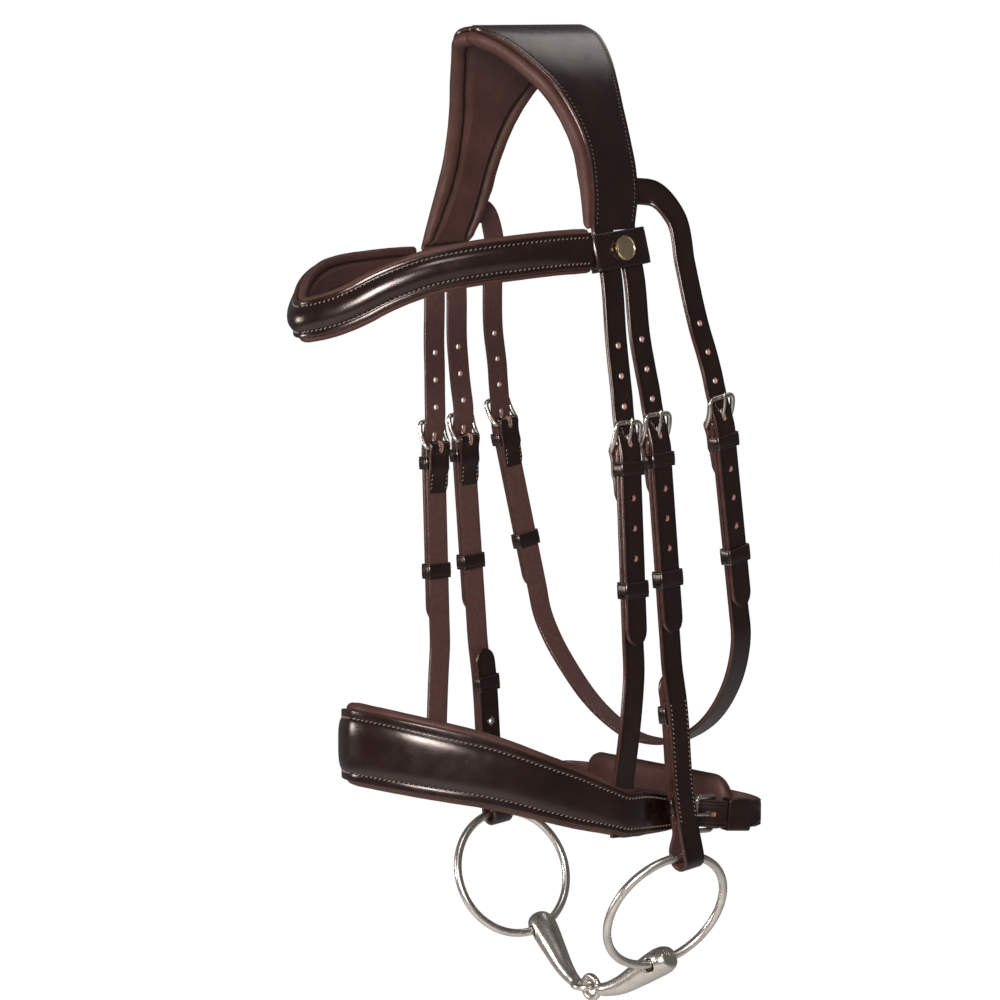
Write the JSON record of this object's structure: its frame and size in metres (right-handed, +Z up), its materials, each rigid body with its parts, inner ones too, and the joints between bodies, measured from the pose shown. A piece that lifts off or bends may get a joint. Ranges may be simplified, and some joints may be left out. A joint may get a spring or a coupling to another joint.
{
  "type": "horse bridle",
  "caption": "Padded leather bridle hung in its worn shape, with browband, noseband, throatlatch, jaw strap and a loose ring single-jointed snaffle bit.",
  "frame": {"origin": "middle of the crown lining's underside, where the poll carries the bridle", "axes": "+X to the horse's near (left) side, -Y to the horse's front, +Z up"},
  "size_m": [0.2214, 0.2952, 0.627],
  "materials": {
    "outer_leather": "polished dark brown",
    "lining_leather": "soft matt brown",
    "steel": "polished",
    "gold_button": "satin"
  },
  "bodies": {
    "tack": {"headpiece_leather": "outer_leather", "headpiece_lining": "lining_leather", "noseband_hanger_near": "outer_leather", "throatlatch": "outer_leather", "cheekpiece_near": "outer_leather", "cheek_backing_near": "lining_leather", "hook_stud_near": "steel", "cheek_keeper_upper_near": "outer_leather", "cheek_keeper_lower_near": "outer_leather", "noseband_buckle_frame_near": "steel", "noseband_fixed_keeper_near": "outer_leather", "cheek_buckle_frame_near": "steel", "cheek_fixed_keeper_near": "outer_leather", "throat_buckle_frame_near": "steel", "throat_fixed_keeper_near": "outer_leather", "jaw_strap": "outer_leather", "jaw_buckle_frame_near": "steel", "jaw_keeper_near": "outer_leather", "jaw_pad": "lining_leather", "noseband_leather": "outer_leather", "noseband_lining": "lining_leather", "noseband_hanger_off": "outer_leather", "cheekpiece_off": "outer_leather", "cheek_backing_off": "lining_leather", "hook_stud_off": "steel", "cheek_keeper_upper_off": "outer_leather", "cheek_keeper_lower_off": "outer_leather", "noseband_buckle_frame_off": "steel", "noseband_fixed_keeper_off": "outer_leather", "cheek_buckle_frame_off": "steel", "cheek_fixed_keeper_off": "outer_leather", "throat_buckle_frame_off": "steel", "throat_fixed_keeper_off": "outer_leather", "jaw_buckle_frame_off": "steel", "jaw_keeper_off": "outer_leather"},
    "noseband_tongue_near": {"noseband_buckle_tongue_near": "steel"},
    "noseband_runner_near": {"noseband_runner_keeper_near": "outer_leather"},
    "cheek_tongue_near": {"cheek_buckle_tongue_near": "steel"},
    "cheek_runner_near": {"cheek_runner_keeper_near": "outer_leather"},
    "throat_tongue_near": {"throat_buckle_tongue_near": "steel"},
    "throat_runner_near": {"throat_runner_keeper_near": "outer_leather"},
    "jaw_tongue_near": {"jaw_buckle_tongue_near": "steel"},
    "noseband_tongue_off": {"noseband_buckle_tongue_off": "steel"},
    "noseband_runner_off": {"noseband_runner_keeper_off": "outer_leather"},
    "cheek_tongue_off": {"cheek_buckle_tongue_off": "steel"},
    "cheek_runner_off": {"cheek_runner_keeper_off": "outer_leather"},
    "throat_tongue_off": {"throat_buckle_tongue_off": "steel"},
    "throat_runner_off": {"throat_runner_keeper_off": "outer_leather"},
    "jaw_tongue_off": {"jaw_buckle_tongue_off": "steel"},
    "browband": {"browband_leather": "outer_leather", "browband_lining": "lining_leather", "browband_loop_near": "outer_leather", "browband_loop_off": "outer_leather", "browband_button_near": "gold_button", "browband_button_off": "gold_button"},
    "bit_ring_near": {"bit_ring_near": "steel"},
    "bit_cannon_near": {"bit_cannon_near": "steel"},
    "bit_ring_off": {"bit_ring_off": "steel"},
    "bit_cannon_off": {"bit_cannon_off": "steel"}
  },
  "joints": [
    {"name": "noseband_tongue_hinge_near", "type": "hinge", "parent": "tack", "child": "noseband_tongue_near", "pos_m": [0.0884, 0.0039, -0.2503], "axis": [0, 0.9992, 0.0409], "range_deg": [0, 6]},
    {"name": "noseband_runner_slide_near", "type": "slide", "parent": "tack", "child": "noseband_runner_near", "axis": [0.0131, 0.0409, -0.9991], "range_m": [-0.045, 0.02]},
    {"name": "cheek_tongue_hinge_near", "type": "hinge", "parent": "tack", "child": "cheek_tongue_near", "pos_m": [0.0882, 0.0289, -0.2454], "axis": [0, 0.9958, 0.0917], "range_deg": [0, 6]},
    {"name": "cheek_runner_slide_near", "type": "slide", "parent": "tack", "child": "cheek_runner_near", "axis": [0.0109, 0.0917, -0.9957], "range_m": [-0.045, 0.02]},
    {"name": "throat_tongue_hinge_near", "type": "hinge", "parent": "tack", "child": "throat_tongue_near", "pos_m": [0.0993, 0.0725, -0.2342], "axis": [0, 0.978, 0.2087], "range_deg": [0, 6]},
    {"name": "throat_runner_slide_near", "type": "slide", "parent": "tack", "child": "throat_runner_near", "axis": [-0.0604, 0.2083, -0.9762], "range_m": [-0.045, 0.02]},
    {"name": "jaw_tongue_hinge_near", "type": "hinge", "parent": "tack", "child": "jaw_tongue_near", "pos_m": [0.0835, 0.0872, -0.4773], "axis": [0.0201, 0.098, 0.995], "range_deg": [0, 6]},
    {"name": "noseband_tongue_hinge_off", "type": "hinge", "parent": "tack", "child": "noseband_tongue_off", "pos_m": [-0.0884, 0.0039, -0.2503], "axis": [0, -0.9992, -0.0409], "range_deg": [0, 6]},
    {"name": "noseband_runner_slide_off", "type": "slide", "parent": "tack", "child": "noseband_runner_off", "axis": [-0.0131, 0.0409, -0.9991], "range_m": [-0.045, 0.02]},
    {"name": "cheek_tongue_hinge_off", "type": "hinge", "parent": "tack", "child": "cheek_tongue_off", "pos_m": [-0.0882, 0.0289, -0.2454], "axis": [0, -0.9958, -0.0917], "range_deg": [0, 6]},
    {"name": "cheek_runner_slide_off", "type": "slide", "parent": "tack", "child": "cheek_runner_off", "axis": [-0.0109, 0.0917, -0.9957], "range_m": [-0.045, 0.02]},
    {"name": "throat_tongue_hinge_off", "type": "hinge", "parent": "tack", "child": "throat_tongue_off", "pos_m": [-0.0993, 0.0725, -0.2342], "axis": [0, -0.978, -0.2087], "range_deg": [0, 6]},
    {"name": "throat_runner_slide_off", "type": "slide", "parent": "tack", "child": "throat_runner_off", "axis": [0.0604, 0.2083, -0.9762], "range_m": [-0.045, 0.02]},
    {"name": "jaw_tongue_hinge_off", "type": "hinge", "parent": "tack", "child": "jaw_tongue_off", "pos_m": [-0.0835, 0.0872, -0.4773], "axis": [0.0201, -0.098, -0.995], "range_deg": [0, 6]},
    {"name": "browband_slide", "type": "slide", "parent": "tack", "child": "browband", "axis": [0, 0.1828, -0.9831], "range_m": [-0.002, 0.005]},
    {"name": "bit_cannon_hinge_near", "type": "hinge", "parent": "bit_ring_near", "child": "bit_cannon_near", "pos_m": [0.05716, 0.06885, -0.57361], "axis": [0, 1, 0], "range_deg": [-12, 12]},
    {"name": "bit_ring_hinge_near", "type": "hinge", "parent": "tack", "child": "bit_ring_near", "pos_m": [0.09066, 0.05715, -0.49962], "axis": [0, 1, 0], "range_deg": [-3.3, 3.3]},
    {"name": "bit_ring_hinge_off", "type": "hinge", "parent": "tack", "child": "bit_ring_off", "pos_m": [-0.09066, 0.05715, -0.49962], "axis": [0, 1, 0], "range_deg": [-3.3, 3.3]},
    {"name": "bit_cannon_hinge_off", "type": "hinge", "parent": "bit_ring_off", "child": "bit_cannon_off", "pos_m": [-0.05716, 0.06885, -0.57361], "axis": [0, 1, 0], "range_deg": [-12.1, 12.1]}
  ],
  "couplings": [
    {"joint": "bit_ring_hinge_near", "follows": "bit_cannon_hinge_near", "ratio": -0.2636},
    {"joint": "bit_ring_hinge_off", "follows": "bit_cannon_hinge_near", "ratio": 0.2636},
    {"joint": "bit_cannon_hinge_off", "follows": "bit_cannon_hinge_near", "ratio": -1}
  ]
}
